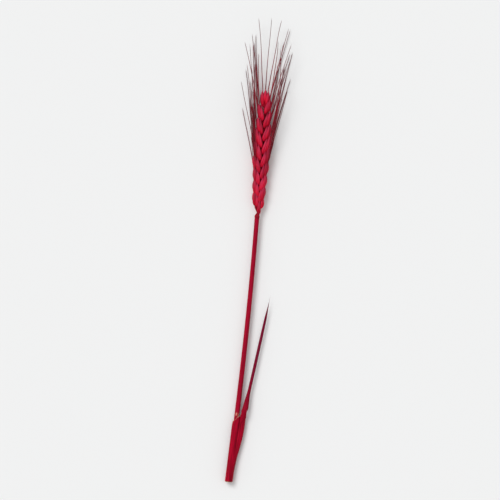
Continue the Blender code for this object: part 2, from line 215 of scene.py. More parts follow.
def fibre_group():
    """The look of dyed, dried plant fibre: fine streaks along the piece, uneven dye, a dull end, bare spots.

    The share round the piece is bent to a circle, so that the streaks close without a seam. A noise on that
    circle, drawn out along the piece, gives the streaks, and a coarser one gives the uneven dye. The colour
    goes from a painted shade in the furrows to full on the fibres, and on to dull past a share of the length.
    """
    group = bpy.data.node_groups.new("dyed_fibre", "ShaderNodeTree")
    sockets = (
        ("Fibres", "NodeSocketFloat", 24.0),  # fibres counted round the piece
        ("Drawn Out", "NodeSocketFloat", 3.0),  # how often the streaks change along it
        # the painted shade that the furrows are darkened towards
        ("Deep", "NodeSocketColor", (0.08, 0.001, 0.005, 1)),
        ("Full", "NodeSocketColor", (0.5, 0.004, 0.02, 1)),
        ("Dull", "NodeSocketColor", (0.3, 0.03, 0.05, 1)),
        ("Bare", "NodeSocketColor", (0.60, 0.36, 0.16, 1)),
        ("Dull From", "NodeSocketFloat", 0.5),
        ("Dull To", "NodeSocketFloat", 1.0),
        ("Depth", "NodeSocketFloat", 0.5),  # how far the painted shade darkens the furrows, and how much rougher they are
    )
    for label, kind, value in sockets:
        group.interface.new_socket(label, in_out="INPUT", socket_type=kind).default_value = value
    for label, kind in (("Color", "Color"), ("Roughness", "Float"), ("Height", "Float")):
        group.interface.new_socket(label, in_out="OUTPUT", socket_type=f"NodeSocket{kind}")
    given, result = put(group, "NodeGroupInput").outputs, put(group, "NodeGroupOutput")

    def maths(operation, *values):
        return put(group, "ShaderNodeMath", dict(enumerate(values)), operation=operation).outputs[0]

    def ramp(value, start, end):
        feeds = {"Value": value, "From Min": start, "From Max": end}
        made = put(group, "ShaderNodeMapRange", feeds, interpolation_type="SMOOTHSTEP")
        return made.outputs["Result"]

    def mix(share, a, b, blend="MIX"):
        made = put(group, "ShaderNodeMix", {0: share, 6: a, 7: b}, data_type="RGBA", blend_type=blend)
        return made.outputs[2]

    tone = put(group, "ShaderNodeAttribute", attribute_name="tone").outputs["Fac"]
    bare = put(group, "ShaderNodeAttribute", attribute_name="bare").outputs["Fac"]
    uv = put(group, "ShaderNodeUVMap", uv_map="round_and_along").outputs[0]
    share = put(group, "ShaderNodeSeparateXYZ", {0: uv}).outputs
    angle = maths("MULTIPLY", share[0], math.tau)
    width = maths("DIVIDE", given["Fibres"], math.tau)
    ring = [maths("MULTIPLY", maths(wave, angle), width) for wave in ("COSINE", "SINE")]
    along = maths("MULTIPLY", share[1], given["Drawn Out"])
    along = maths("ADD", along, maths("MULTIPLY", tone, TONE_APART))
    place = put(group, "ShaderNodeCombineXYZ", {0: ring[0], 1: ring[1], 2: along}).outputs[0]
    streak = put(group, "ShaderNodeTexNoise", {"Vector": place, **STREAKS})
    wide = put(group, "ShaderNodeVectorMath", {0: place, 1: CLOUD_SCALE}, operation="MULTIPLY").outputs[0]
    cloud = put(group, "ShaderNodeTexNoise", {"Vector": wide, **CLOUDS})

    fibre = ramp(streak.outputs[0], *STREAK_RANGE)
    uneven = ramp(cloud.outputs[0], *CLOUD_RANGE)
    furrow = maths("MULTIPLY", maths("SUBTRACT", 1.0, fibre), given["Depth"])
    fray = maths("SUBTRACT", fibre, 0.5)
    # Painted shade: the furrows are darkened towards the shading colour, as far as the depth says.
    colour = mix(furrow, given["Full"], given["Deep"])
    end = maths("ADD", share[1], maths("MULTIPLY", fray, END_FRAY))
    end = ramp(end, given["Dull From"], given["Dull To"])
    colour = mix(end, colour, given["Dull"])
    shade = maths("ADD", maths("MULTIPLY", tone, TONE_SHADE), maths("MULTIPLY", uneven, DYE_SHADE))
    shade = maths("ADD", shade, LEAST_SHADE)
    grey = put(group, "ShaderNodeCombineXYZ", {0: shade, 1: shade, 2: shade}).outputs[0]
    colour = mix(1.0, colour, grey, "MULTIPLY")
    spot = ramp(maths("ADD", bare, maths("MULTIPLY", fray, SPOT_FRAY)), *SPOT_RANGE)
    # Painted shade: where no dye took, the furrows are darkened too.
    bare_colour = mix(maths("MULTIPLY", furrow, BARE_SHADE_DEPTH), given["Bare"], BARE_FURROW_SHADE)
    colour = mix(spot, colour, bare_colour)
    faint = maths("MULTIPLY", maths("SUBTRACT", 1.0, uneven), FAINT_ROUGH)
    rough = maths("ADD", faint, maths("MULTIPLY", furrow, FURROW_ROUGH))
    rough = maths("ADD", rough, maths("ADD", ROUGH, maths("MULTIPLY", end, DULL_ROUGH)))
    for socket, value in (("Color", colour), ("Roughness", rough), ("Height", fibre)):
        group.links.new(value, result.inputs[socket])
    return group


DYED_FIBRE = fibre_group()


def dyed(name, relief, specular=0.2, **looks):
    """A material of dyed fibre. Relief is its furrows' depth in metres, looks are the group's sockets."""
    made = bpy.data.materials.new(name)
    made.use_nodes = True
    tree = made.node_tree
    shader = tree.nodes["Principled BSDF"]
    fibre = put(tree, "ShaderNodeGroup", node_tree=DYED_FIBRE)
    for socket, value in looks.items():
        fibre.inputs[socket.replace("_", " ").title()].default_value = value
    furrows = {"Height": fibre.outputs["Height"], "Distance": relief, "Strength": 1.0}
    bump = put(tree, "ShaderNodeBump", furrows)
    tree.links.new(fibre.outputs["Color"], shader.inputs["Base Color"])
    tree.links.new(fibre.outputs["Roughness"], shader.inputs["Roughness"])
    tree.links.new(bump.outputs[0], shader.inputs["Normal"])
    shader.inputs["Specular IOR Level"].default_value = specular
    return made


def finished(piece, finish, slot, *nodes):
    """The piece gets its material, rides on the one body and stands for the CAD nodes. Its slot is not used.
    """
    piece.data.materials.append(finish)
    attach(piece, "root")
    if nodes:
        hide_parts(*nodes)


# Its furrows are darkened by a painted shade.
straw_finish = dyed(
    "dyed_straw", relief=0.00002, specular=0.07, fibres=60, drawn_out=14, depth=0.5,
    deep=(0.13, 0.0003, 0.006, 1), full=(0.37, 0.0008, 0.022, 1), dull=(0.36, 0.012, 0.046, 1),
    dull_from=0.6, dull_to=1.6, bare=(0.66, 0.24, 0.18, 1),
)

outer_y = np.concatenate([np.linspace(STRAW_LENGTH + STRAW_IN_EAR, CUT_ZONE, STRAW_STATIONS), CUT_RINGS])
outer_r = STRAW_RADIUS + (NECK_RADIUS - STRAW_RADIUS) * smooth_step(NECK_FROM, 1, outer_y / STRAW_LENGTH)
rim_r = [STRAW_RADIUS - RIM_ROUND, HOLLOW_RADIUS + RIM_ROUND]
hollow_y = [*HOLLOW_RINGS, HOLLOW_DEPTH - HOLLOW_RADIUS, HOLLOW_DEPTH]
hollow_r = HOLLOW_RADIUS * np.array(HOLLOW_SHARES)
straw_y = np.concatenate([outer_y, [0, 0], hollow_y])[:, None]
straw_r = np.concatenate([outer_r, rim_r, hollow_r])[:, None]
angle = np.linspace(0, math.tau, STRAW_AROUND, endpoint=False)
outside = (np.arange(len(straw_y)) < len(outer_y))[:, None]
flute = FLUTE_ANGLE + FLUTE_WANDER * np.sin(straw_y * FLUTE_WAVE)
off_flute = (angle - flute + math.pi) % math.tau - math.pi
relief = RIB_HEIGHT * np.cos(angle * STRAW_RIBS) - FLUTE_DEPTH * np.exp(-((off_flute / FLUTE_WIDTH) ** 2))
oval = 1 + OVAL * np.cos(2 * angle + OVAL_TURNS * straw_y)
slant = CUT_SLANT * (1 + np.cos(angle - SLANT_ANGLE))
ragged = slant + CUT_RAG * (1 + np.sin(RAG_WAVES[0] * angle) * np.sin(RAG_WAVES[1] * angle + 1))
straw_width = straw_r * np.where(outside, oval, 1) + relief * outside
straw_rings = turned(straw_width, angle, straw_y + ragged * np.exp(-straw_y / CUT_REACH))
bare_inside = ~outside & (straw_y < CUT_ZONE)
straw_bare = bare_inside + smooth_step(*RIM_BARE, straw_y) * outside
scar = (straw_y - SCAR_PLACE[0]) / SCAR_SIZE[0], (angle - SCAR_PLACE[1]) / SCAR_SIZE[1]
straw_bare = np.maximum(straw_bare, np.exp(-(scar[0] ** 2) - scar[1] ** 2))
straw = loft("straw", lay(straw_rings)[None], tone=0.55, bare=straw_bare[None])
finished(straw, straw_finish, "stalk", "stalk")


# Leaf.
# The uppermost leaf. Its sheath still clasps the straw's lower end, split down one side. At its torn mouth
# it leaves the straw and rolls up lengthwise into the narrow, brittle, darker blade.

LEAF_CUT = 0.0002  # the height of the sheath's cut end
SHEATH_LENGTH = 0.0315
SHEATH_RADIUS = 0.00190  # to the middle of the wall
SHEATH_TURN, BLADE_TURN = math.radians(162), math.radians(98)  # half the angle that each wraps
SHEATH_GAPE, GAPE_FROM = 0.0028, 0.0040  # how far it has come off on the blade's side, and from where
GAPE_POWER = 2.5  # how narrow the fold is that has come off
MOUTH_LENGTH = 0.0060  # over which the sheath opens
MOUTH_TURN = math.radians(58)
TEAR, TEAR_UNEVEN = math.radians(9), 0.4  # how far the mouth's edge is torn back, and how unevenly
TEAR_POWER = 4  # how near to the edge the tear stays
NOTCH_WAVES = (5200, 1900, 9100)  # of the torn edge, in radians a metre
LEAVES_AT = 0.7  # the share of the mouth's length at which the sheet leaves the straw
BLADE_LENGTH = 0.0660
BLADE_RADIUS = 0.00066
ROLL_LENGTH = 0.0160  # over which the sheet rolls up
STANDS_OFF_BY = 0.35  # the share of that length by which its foot stands off
BLADE_AWAY = 0.0034  # how far off the straw's middle the blade's foot stands
BLADE_DRIFT = math.radians(6.3)  # away from the straw
BLADE_FACE = math.radians(78)  # the blade turns its back from +X up to the viewer
BLADE_DROP, DROP_POWER = 0.0012, 1.4  # at its tip
BLADE_OPENS, OPENS_POWER = 0.88, 3  # by what share it is less rolled at its tip
TIP_FROM, TIP_NARROWS = 0.80, 0.93  # the share of the blade from which it narrows, and by how much
LEAF_WALL = 0.0006  # of the solid, whose outer face the sheet keeps
SHEET_WALL, SHEET_EDGE = 0.00034, 0.00010
EDGE_POWER = 8  # how late the sheet thins towards its edges
ROLLED_THINNER = 0.35  # the blade's wall against the sheath's
SHEET_INSET, ROLLED_INSET = 0.00005, 0.00006  # how far under the solid's face it lies, and the roll adds
VEINS, VEIN_HEIGHT, INNER_VEINS = 17, 0.000022, 0.7  # and their height inside against outside
MIDRIB_HEIGHT, MIDRIB_WIDTH = 0.00009, 0.07
SHEATH_MIDRIB = 0.35  # its height on the sheath against the blade's
CRINKLE, CRINKLE_WAVES = 0.00005, (260, 97)  # its height, and its waves in radians a metre
GROOVE_AT, GROOVE_WIDTH = math.radians(52), math.radians(6.5)  # the crease where the fold leaves the straw
GROOVE_DEPTH = 0.00095
BARE_EDGE, BARE_CUT = 0.62, 0.60  # how bare of dye the torn edge and the cut end are
BARE_FROM = (0.95, 0.99)  # the share of the half width at which the bare edge starts
BARE_STARTS, BARE_ENDS = (-0.0002, 0.0006), (-0.0005, 0.001)  # where it comes and goes, from the mouth's ends
BARE_REACH = 0.0003  # how far up from the cut the dye is gone

mouth, opened = SHEATH_LENGTH, SHEATH_LENGTH + MOUTH_LENGTH
leaving = SHEATH_LENGTH + MOUTH_LENGTH * LEAVES_AT
rolled, tip = leaving + ROLL_LENGTH, opened + BLADE_LENGTH
stretches = (  # each from, to, and its number of rings
    (LEAF_CUT, mouth, 40), (mouth, opened, 44), (opened, rolled, 30), (rolled, tip, 80),
)
leaf_y = np.concatenate([[LEAF_CUT], *(np.linspace(a, b, n + 1)[1:] for a, b, n in stretches)])[:, None]
along_blade = np.clip((leaf_y - leaving) / (tip - leaving), 0, 1)
open_share, roll = smooth_step(mouth, opened, leaf_y), smooth_step(leaving, rolled, leaf_y)
blade_turn = BLADE_TURN * (1 - BLADE_OPENS * along_blade**OPENS_POWER)
half_turn = SHEATH_TURN + (MOUTH_TURN - SHEATH_TURN) * open_share + (blade_turn - MOUTH_TURN) * roll
notches = np.sin(leaf_y * NOTCH_WAVES[0]) * np.sin(leaf_y * NOTCH_WAVES[1] + 1)
notches = notches + 0.5 * np.sin(leaf_y * NOTCH_WAVES[2] + 2)
torn_back = TEAR * (1 - TEAR_UNEVEN + TEAR_UNEVEN * notches) * open_share * (1 - roll) ** 2
leaf_radius = SHEATH_RADIUS + (BLADE_RADIUS - SHEATH_RADIUS) * roll
off = smooth_step(mouth + MOUTH_LENGTH / 2, leaving + ROLL_LENGTH * STANDS_OFF_BY, leaf_y)
away = BLADE_AWAY * off + math.tan(BLADE_DRIFT) * np.maximum(0, leaf_y - leaving)
gape = SHEATH_GAPE * smooth_step(GAPE_FROM, mouth, leaf_y) * (1 - off)
drop = -BLADE_DROP * along_blade**DROP_POWER

t = np.linspace(-1, 1, 121)  # across the sheet, from one edge to the other
bent = half_turn * t - torn_back * np.sign(t) * t**TEAR_POWER  # the angle that the sheet has gone round to
edge = 1 - np.abs(t) ** EDGE_POWER  # 0 at the two edges
wall = SHEET_EDGE + (SHEET_WALL - SHEET_EDGE) * edge * (1 - ROLLED_THINNER * roll)
veins = VEIN_HEIGHT * np.cos(t * VEINS * math.pi) * edge
midrib = MIDRIB_HEIGHT * np.exp(-((t / MIDRIB_WIDTH) ** 2)) * (SHEATH_MIDRIB + (1 - SHEATH_MIDRIB) * roll)
crinkle = CRINKLE * np.sin(leaf_y * CRINKLE_WAVES[0] + t * 3) * np.sin(leaf_y * CRINKLE_WAVES[1] + 1) * edge
groove = np.exp(-(((np.abs(bent) - GROOVE_AT) / GROOVE_WIDTH) ** 2)) * smooth_step(GAPE_FROM, mouth, leaf_y)
outer = leaf_radius + LEAF_WALL / 2 - SHEET_INSET - ROLLED_INSET * roll
outer = outer + veins + crinkle - GROOVE_DEPTH * groove * (1 - off)
inner = outer - wall - veins * INNER_VEINS
outer = outer + midrib
across = bent + BLADE_FACE * off
side_gape = away + gape * np.clip(np.cos(bent), 0, 1) ** GAPE_POWER
outer_face = turned(outer, across, leaf_y, side_gape, drop)
inner_face = turned(inner, across, leaf_y, side_gape, drop)
leaf_rings = np.concatenate([outer_face, inner_face[:, ::-1]], axis=1)
leaf_middle = leaf_rings.mean(axis=1, keepdims=True)
narrow = 1 - TIP_NARROWS * smooth_step(TIP_FROM, 1, along_blade)[:, None]
leaf_rings = leaf_middle + (leaf_rings - leaf_middle) * narrow
torn = np.concatenate([np.abs(t), np.abs(t)[::-1]])
leaf_bare = smooth_step(mouth + BARE_STARTS[0], mouth + BARE_STARTS[1], leaf_y)
leaf_bare = leaf_bare * smooth_step(opened + BARE_ENDS[1], opened + BARE_ENDS[0], leaf_y)
leaf_bare = leaf_bare * BARE_EDGE * smooth_step(*BARE_FROM, torn)
leaf_bare = np.maximum(leaf_bare, BARE_CUT * smooth_step(LEAF_CUT + BARE_REACH, LEAF_CUT, leaf_y))

# Its furrows are darkened by a painted shade.
leaf_finish = dyed(
    "dyed_leaf", relief=0.00003, specular=0.06, fibres=90, drawn_out=9, depth=0.6,
    deep=(0.08, 0.0002, 0.004, 1), full=(0.40, 0.0008, 0.020, 1), dull=(0.21, 0.007, 0.034, 1),
    dull_from=0.34, dull_to=0.75, bare=(0.70, 0.42, 0.28, 1),
)
leaf = loft(
    "sheath_and_blade", lay(leaf_rings)[None], tone=0.5, bare=leaf_bare[None], along=leaf_y[:, 0] / tip,
    sheet=True,
)
finished(leaf, leaf_finish, "leaf", "leaf")


# Torn fibres.
# Where the leaf's mouth was torn, single fibres of its edge stand out, dry and stiff and mostly bare of dye.
# Each starts a little way down inside the sheet's edge.

TORN_FIBRES = 26
FIBRE_PLACE = (0.02, 0.95)  # the stretch of the mouth's length that they stand on
FIBRE_RADIUS, FIBRE_THINS = 0.000055, 0.8
FIBRE_LENGTH = (0.0008, 0.0026)
FIBRE_LEAN = 0.4  # in radians round the straw, at its end
FIBRE_FOOT, FIBRE_ROOT = 0.1, 0.0004  # its start: a share of the wall out from its middle, and how far down
FIBRE_OUT = 0.0004  # how far it curves outwards
FIBRE_BARE = (0.5, 1)

draw = np.random.default_rng(7)
fibre_y = mouth + MOUTH_LENGTH * draw.uniform(*FIBRE_PLACE, TORN_FIBRES)
fibre_side = draw.choice([-1, 1], TORN_FIBRES)
fibre_turn = fibre_side * np.interp(fibre_y, leaf_y[:, 0], (half_turn - torn_back)[:, 0])
fibre_length = draw.uniform(*FIBRE_LENGTH, TORN_FIBRES)
fibre_lean = draw.uniform(-FIBRE_LEAN, FIBRE_LEAN, TORN_FIBRES)
s = np.linspace(0, 1, 7)[None, :]
line_turn = fibre_turn[:, None] + fibre_lean[:, None] * s
line_out = SHEATH_RADIUS + LEAF_WALL * FIBRE_FOOT + draw.uniform(0, FIBRE_OUT, TORN_FIBRES)[:, None] * s**2
line_y = fibre_y[:, None] - FIBRE_ROOT + fibre_length[:, None] * s
fibre_line = turned(line_out, line_turn, line_y)[:, :, None]
ring_angle = np.arange(5) / 5 * math.tau
ring = np.stack([np.cos(ring_angle), 0 * ring_angle, np.sin(ring_angle)], axis=-1)
fibre_rings = fibre_line + FIBRE_RADIUS * (1 - FIBRE_THINS * s)[..., None, None] * ring
# Its furrows are darkened by a painted shade.
undyed_finish = dyed(
    "undyed_fibre", relief=0.000002, specular=0.06, fibres=3, drawn_out=2, depth=0.5,
    deep=(0.10, 0.004, 0.008, 1), full=(0.40, 0.020, 0.030, 1), dull=(0.40, 0.060, 0.050, 1),
    bare=(0.72, 0.46, 0.31, 1),
)
fibre_tone, fibre_bare = draw.uniform(0, 1, TORN_FIBRES), draw.uniform(*FIBRE_BARE, TORN_FIBRES)
torn_fibres = loft("torn_fibres", lay(fibre_rings), tone=fibre_tone, bare=fibre_bare)
finished(torn_fibres, undyed_finish, "leaf")


# Rachis.
# The zigzag stem inside the ear, which one spikelet after another is seated on, left and right in turn.
# Each internode is a flattened wedge, widest just under the next spikelet. A low collar marks where the
# straw ends.

SPIKELETS = 17  # on the two sides together, below the one at the top
FIRST_NODE = 0.0024
INTERNODE = 0.0034
CROWDING, CROWDING_POWER = 0.25, 1.6  # how much nearer to each other the lowest nodes are
RACHIS_RADIUS = 0.00085
RACHIS_FOOT, RACHIS_THINS = 1.2, 0.4  # its radius at the foot against that, and how much it loses to the top
RACHIS_FLAT = 0.78  # its thickness against its width
RACHIS_SWAY = 0.00055
RACHIS_IN_STRAW = 0.0006  # how far down inside the straw it starts
RACHIS_AROUND, RACHIS_STATIONS = 28, 230
RACHIS_RIBS, RACHIS_RIB_HEIGHT = 9, 0.03  # the height as a share of its radius
WEDGE = 0.30  # how much wider an internode gets from its foot to its top
WEDGE_PLAIN = 0.45  # the square of the share up it at which it has its plain width
NECK_TO, SHAPED_BY = 0.05, 0.06  # the shares of its height by which the neck ends and its own shape is full
COLLAR_HEIGHT, COLLAR_REACH, COLLAR_AT = 0.00022, 0.0007, 0.0004

rachis_share = np.arange(SPIKELETS + 1) / SPIKELETS
rachis_share = rachis_share * (1 - CROWDING) + rachis_share**CROWDING_POWER * CROWDING
rachis_nodes = STRAW_LENGTH + FIRST_NODE + INTERNODE * SPIKELETS * rachis_share
rachis_from, rachis_to = STRAW_LENGTH - RACHIS_IN_STRAW, rachis_nodes[-1] + INTERNODE / 2
sides = np.where(np.arange(SPIKELETS + 1) % 2, -1, 1)
sway = np.append(RACHIS_SWAY * sides[:-1], 0)
rachis_y = np.linspace(rachis_from, rachis_to, RACHIS_STATIONS)[:, None]
middle_x = np.interp(rachis_y, [STRAW_LENGTH, STRAW_LENGTH + FIRST_NODE / 2, *rachis_nodes], [0, 0, *sway])
up_stem = (rachis_y - STRAW_LENGTH) / (rachis_nodes[-1] - STRAW_LENGTH)
shaped = smooth_step(0.0, SHAPED_BY, up_stem)
in_wedge = np.interp(rachis_y, rachis_nodes, np.arange(SPIKELETS + 1)) % 1
wedge = 1 + WEDGE * (in_wedge**2 - WEDGE_PLAIN) * shaped
rachis_r = RACHIS_RADIUS * (RACHIS_FOOT - RACHIS_THINS * up_stem) * wedge
rachis_r = rachis_r + (NECK_RADIUS - RACHIS_RADIUS * RACHIS_FOOT) * smooth_step(NECK_TO, 0.0, up_stem)
off_collar = (rachis_y - STRAW_LENGTH - COLLAR_AT) / COLLAR_REACH
rachis_r = rachis_r + COLLAR_HEIGHT * np.exp(-(off_collar**2))
flat = 1 - (1 - RACHIS_FLAT) * shaped
rachis_angle = np.linspace(0, math.tau, RACHIS_AROUND, endpoint=False)
ribbed = 1 + RACHIS_RIB_HEIGHT * np.cos(rachis_angle * RACHIS_RIBS)
rachis_rings = np.stack(np.broadcast_arrays(
    middle_x + rachis_r * ribbed * np.cos(rachis_angle), rachis_y,
    rachis_r * flat * ribbed * np.sin(rachis_angle)
), axis=-1)
# Its furrows are darkened by a painted shade.
rachis_finish = dyed(
    "dyed_rachis", relief=0.00002, specular=0.10, fibres=22, drawn_out=30, depth=0.6,
    deep=(0.07, 0.001, 0.005, 1), full=(0.36, 0.003, 0.018, 1), dull=(0.25, 0.01, 0.03, 1), dull_from=0.9,
    dull_to=1.8,
)
rachis = loft("rachis", lay(rachis_rings)[None], tone=0.4)
finished(rachis, rachis_finish, "ear", "ear")


# Spikelets' feet.
# The short solid callus that seats each spikelet on the rachis. The scales grow from it, and it is only seen
# between their bases.

STERILE = 1  # the lowest spikelet, which carries no awn
SPIKELET_OUT = 0.0007
LEAN_LOW, LEAN_MIDDLE, LEAN_TOP = 3, 11.5, 8.5  # degrees
SIZE_LOW, SIZE_TOP = 0.80, 0.78  # against a full-grown spikelet
GROWS_FROM, GROWN_AT = -0.05, 0.60  # the shares of the ear's height between which spikelets get larger
TAPER_AT = 0.55  # and from which they get smaller again
LEAN_SPREAD, SIZE_SPREAD = 1.5, 0.04  # how unlike the spikelets are, in degrees and as a share
FAN_LOW, FAN_FROM = 0.4, 0.25  # the lowest one's fan against a full one, and the height from which all are
FOOT = {"length": 0.0062, "width": 0.0034, "depth": 0.0022, "up": -0.0009, "out": 0.0, "aside": 0.0,
        "spread": 0, "face": 90}
SCALE_BASE, SCALE_POINT = 0.45, 1.05  # how the outline narrows to its root and to its tip
SCALE_BULGE = 0.05  # of its length, outwards at the middle
FLAT_BACK = 0.6  # the inner half's depth, as a share of the outer half's
BEAK_NARROWS, BEAK_RANGE = 0.45, (0.72, 0.95)  # by how much a full beak is drawn in, and where
KEEL_AT, KEEL_WIDTH = (0.12, 0.34), 0.16  # as shares of the half width
KEEL_RISES = (0.02, 0.5)  # as shares of the length
WALL_GROWS, KEEL_GROWS, NERVES_GROW = 1.6, 1.5, 2  # how fast each is full, as the outline widens
CURL_FROM, CURL_LEAST = 0.7, 0.3
WARP, TIP_ASIDE, LENGTH_SPREAD = 0.00005, 0.0002, 0.03  # how unlike the scales are
TABLE_CLEAR = 0.00012  # nearer to the table than twice this, a point is eased up
AWN_LENGTH = 0.052  # on the ear's middle
AWN_SHORTER = (0.010, 0.012)  # by how much at the foot and at the top
AWN_LENGTH_SPREAD = 0.004
AWN_SIDEWAYS, AWN_UPWARDS = (3.5, 14.5), (1.5, 9)  # its lean in degrees, on the spikelet's own side and hand
TOP_AWN_SIDEWAYS, TOP_AWN_UPWARDS = (2, 8), (-1, 5)
AWN_KNEE = (0.2, 0.5)  # the share of its length over which it follows its lemma's direction
SPIKELET_SEED = 20


def spikelet(i):
    """Where spikelet number i sits on the rachis, which way it leans, how large it is and how its awns lean.

    The top one stands straight on, its fan turned across the two rows.
    """
    chance = np.random.default_rng([SPIKELET_SEED, i])
    height, side, top = i / (SPIKELETS - 1), -1 if i % 2 else 1, i == SPIKELETS
    grown = float(smooth_step(GROWS_FROM, GROWN_AT, height))
    taper = float(smooth_step(TAPER_AT, 1, height))
    fanned = FAN_LOW + (1 - FAN_LOW) * float(smooth_step(0, FAN_FROM, height))
    lean = LEAN_LOW + (LEAN_MIDDLE - LEAN_LOW) * grown + (LEAN_TOP - LEAN_MIDDLE) * taper
    lean = math.radians(lean + LEAN_SPREAD * chance.uniform(-1, 1))
    size = SIZE_LOW + (1 - SIZE_LOW) * grown + (SIZE_TOP - 1) * taper
    size *= 1 + SIZE_SPREAD * chance.uniform(-1, 1)
    awn_length = AWN_LENGTH - AWN_SHORTER[0] * (1 - height) - AWN_SHORTER[1] * height**3
    awn_length += AWN_LENGTH_SPREAD * chance.uniform(-1, 1)
    leans, knees = [], []
    for hand in (1, -1):
        sideways, upwards = chance.uniform(*AWN_SIDEWAYS), chance.uniform(*AWN_UPWARDS)
        leans.append((side * sideways, hand * upwards))
        if top:
            leans[-1] = (hand * chance.uniform(*TOP_AWN_SIDEWAYS), chance.uniform(*TOP_AWN_UPWARDS))
        knees.append(chance.uniform(*AWN_KNEE))
    root = [0 if top else side * SPIKELET_OUT, rachis_nodes[i], 0]
    axis, outer, fan = [0, 1, 0], [0, 0, 1], [1, 0, 0]
    if not top:
        axis = [side * math.sin(lean), math.cos(lean), 0]
        outer = [side * math.cos(lean), -math.sin(lean), 0]
        fan = [0, 0, 1]
    return {
        "root": root, "axis": axis, "outer": outer, "fan": fan, "size": size, "fanned": fanned,
        "awn": awn_length, "leans": leans, "knees": knees,
    }


spikelets = [spikelet(i) for i in range(SPIKELETS + 1)]
everyone, fertile = np.arange(SPIKELETS + 1), np.arange(STERILE, SPIKELETS + 1)


def unit(v):
    """The vectors at length 1."""
    return v / np.linalg.norm(v, axis=-1, keepdims=True)


def scale_frames(kind, hands, which):
    """Root, axis, outward face, cross direction and size of a kind of scale, on these spikelets' hands.

    A spikelet leans away from the stem by its own angle. The scale sits out to one hand of its fan, is
    spread from its middle by a few degrees, and faces between the fan's edge and the spikelet's outer side.
    """
    root, axis, outer, fan, size, fanned = (
        np.repeat(np.array([spikelets[i][key] for i in which], float), len(hands), axis=0)
        for key in ("root", "axis", "outer", "fan", "size", "fanned")
    )
    size, out = size[:, None], kind["out"] * (size * fanned)[:, None]
    up = fan * np.tile(hands, len(which))[:, None]
    spread, face = math.radians(kind["spread"]), math.radians(kind["face"])
    root = root + size * (axis * kind["up"] + up * out + outer * kind["aside"])
    along = unit(axis * math.cos(spread) + up * math.sin(spread))
    facing = up * math.cos(face) + outer * math.sin(face)
    facing = unit(facing - along * np.sum(facing * along, axis=-1, keepdims=True))
    return root, along, facing, np.cross(facing, along), size


def above_table(points):
    """Points nearer to the table than twice the clearance, eased up so that none goes through it."""
    points = np.array(points)
    low = points[..., 2] < TABLE_CLEAR * 2
    points[..., 2][low] = TABLE_CLEAR * np.exp(points[..., 2][low] / TABLE_CLEAR / 2 - 1) * 2
    return points


def scales(name, frames, kind, stations, around, seed, keel=0.0, nerves=0, nerve_height=0.0, shell=0.0,
           skew=0.0, beak=0.0, curl=0.0, tone=(0, 1)):
    """Boat-shaped scales, all in one mesh.

    At share s of the length, the half width goes as s**SCALE_BASE * (1 - s)**SCALE_POINT. The outer half of
    the section is a half ellipse. The inner one is a flatter half ellipse, or for a shell the outer one
    again, one wall further in. The middle line bulges outwards. A keel and fine nerves are raised on the
    outer half, the point is drawn out to a beak, and a little seeded warp and curl makes each one its own.
    """
    root, along, facing, cross, size = (part[:, None, None] for part in frames)
    chance = np.random.default_rng(seed)
    count = len(root)

    def vary(low, high):
        return chance.uniform(low, high, (count, 1, 1))

    s = ((1 - np.cos(math.pi * (np.arange(stations) + 0.5) / stations)) / 2)[None, :, None]
    a = (np.arange(around) / around * math.tau)[None, None]
    lateral, face = np.sin(a), np.cos(a)
    widest = SCALE_BASE / (SCALE_BASE + SCALE_POINT)
    outline = (s / widest) ** SCALE_BASE * ((1 - s) / (1 - widest)) ** SCALE_POINT
    outline = outline * (1 - BEAK_NARROWS * beak * smooth_step(*BEAK_RANGE, s))
    depth = kind["depth"] / 2 * outline
    front = np.clip(face, 0, 1)
    inner_half, keeled = face * FLAT_BACK * depth, front
    if shell:
        wall = shell * np.minimum(1, outline * WALL_GROWS) * np.abs(face) ** 0.5
        inner_half, keeled = np.abs(face) * depth - wall, 1
    out = np.where(face > 0, face * depth, inner_half)
    keel_line = np.exp(-(((lateral - vary(*KEEL_AT)) / KEEL_WIDTH) ** 2)) * keeled
    out = out + keel * keel_line * smooth_step(*KEEL_RISES, s) * np.minimum(1, outline * KEEL_GROWS)
    nerve_lines = np.cos(lateral * math.pi * nerves) * front
    out = out + nerve_height * nerve_lines * np.minimum(1, outline * NERVES_GROW)
    out = out + SCALE_BULGE * kind["length"] * np.sin(math.pi * s)
    out = out + curl * vary(CURL_LEAST, 1) * smooth_step(CURL_FROM, 1, s)
    warp = vary(-1, 1) * np.sin(s * 5 + vary(0, 6))
    warp = warp + vary(-1, 1) * np.sin(s * 11 + lateral * 2 + vary(0, 6))
    out = out + WARP * warp * outline
    side = (lateral + skew * (1 - lateral**2)) * outline * kind["width"] / 2
    side = side + TIP_ASIDE * vary(-1, 1) * smooth_step(0.5, 1, s)
    body = s * kind["length"] * (1 + LENGTH_SPREAD * vary(-1, 1))
    places = root + size * (body[..., None] * along + out[..., None] * facing + side[..., None] * cross)
    tones = tone[0] + (tone[1] - tone[0]) * chance.uniform(0, 1, count)
    return loft(name, above_table(lay(places)), tones)


# Its furrows are darkened by a painted shade.
callus_finish = dyed(
    "dyed_callus", relief=0.00003, specular=0.10, fibres=26, drawn_out=2, depth=0.6,
    deep=(0.07, 0.0006, 0.005, 1), full=(0.44, 0.003, 0.022, 1), dull=(0.34, 0.014, 0.040, 1), dull_from=0.5,
    dull_to=1.4,
)
feet = scales(
    "spikelet_feet", scale_frames(FOOT, [1], everyone), FOOT, stations=20, around=24, seed=31,
    tone=(0.1, 0.6),
)
finished(feet, callus_finish, "ear")


# Chaff.
# The dry scales of every spikelet: a keeled, beaked, hollow glume on each hand, and over it the lemmas,
# rounder, finely nerved and closed, as round a grain. Paleas and late florets fill the spikelet's inside.
# The lowest spikelet has its glumes and its middle lemma only.

